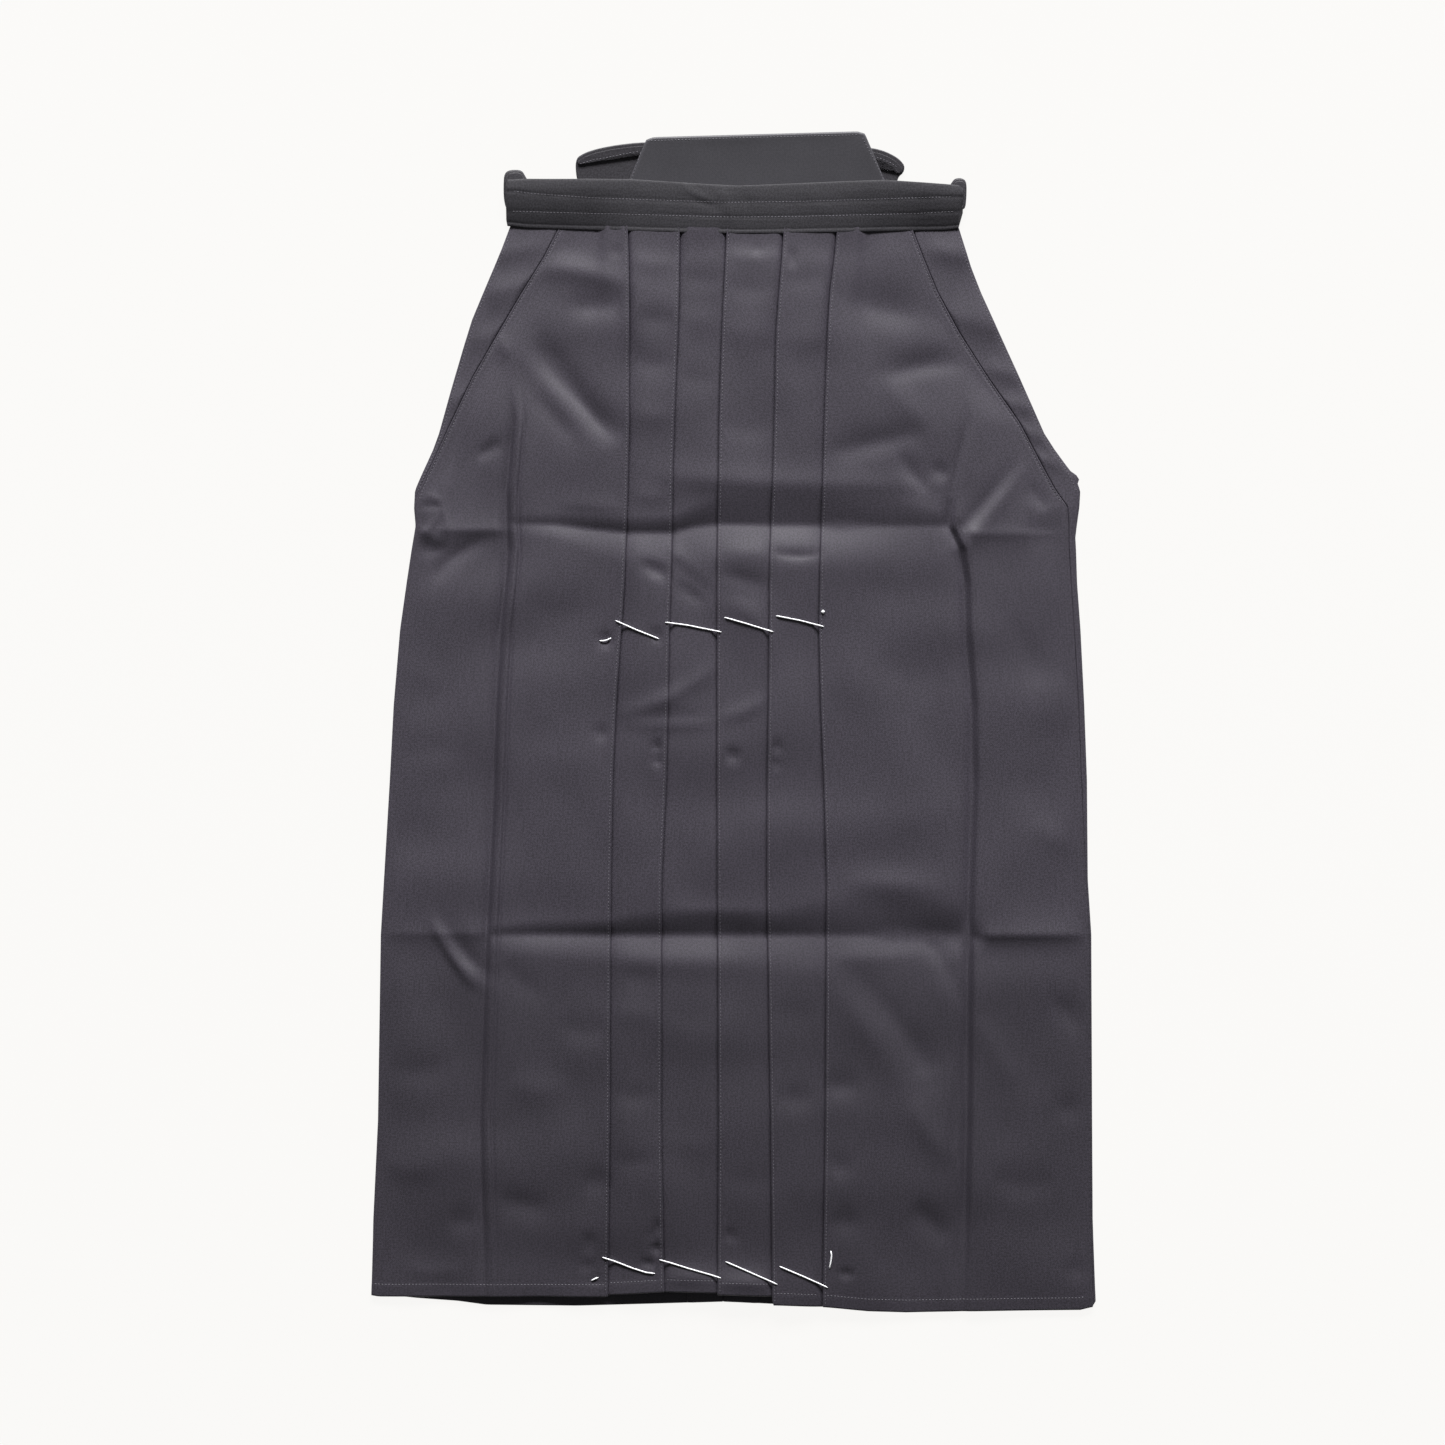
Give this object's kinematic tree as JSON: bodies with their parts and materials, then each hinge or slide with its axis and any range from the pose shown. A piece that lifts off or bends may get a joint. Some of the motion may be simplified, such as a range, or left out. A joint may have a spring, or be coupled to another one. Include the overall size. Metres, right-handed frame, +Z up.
{
  "type": "hakama trousers laid flat",
  "caption": "Pleated divided trousers with a folded front waistband, a stiff back board and folded straps, lying flat with the front up.",
  "frame": {"origin": "middle of the garment's outline, on the surface it lies on", "axes": "+Z up out of the front, +Y from the hems to the waist, +X to the right of the front as seen from above, which is the wearer's left"},
  "size_m": [0.618, 1.0064, 0.0119],
  "materials": {
    "twill_front": "smooth fine twill, charcoal black with a violet cast and a soft satin sheen",
    "twill_back": "the same smooth fine twill on the back panels and the gusset",
    "band_cloth": "the same twill folded over a stiffener and stitched in two rows",
    "board_cloth": "the same twill stretched over a stiff board",
    "strap_cloth": "folded straps of the same twill with stitched edges",
    "basting_thread": "soft white cotton basting thread"
  },
  "bodies": {
    "root": {"front_right_leg": "twill_front", "front_left_leg": "twill_front", "back_right_leg": "twill_back", "back_left_leg": "twill_back", "crotch_gusset": "twill_back", "front_waistband": "band_cloth", "back_board": "board_cloth", "back_strap_right": "strap_cloth", "back_strap_left": "strap_cloth", "front_strap_right": "strap_cloth", "front_strap_left": "strap_cloth"}
  },
  "joints": []
}
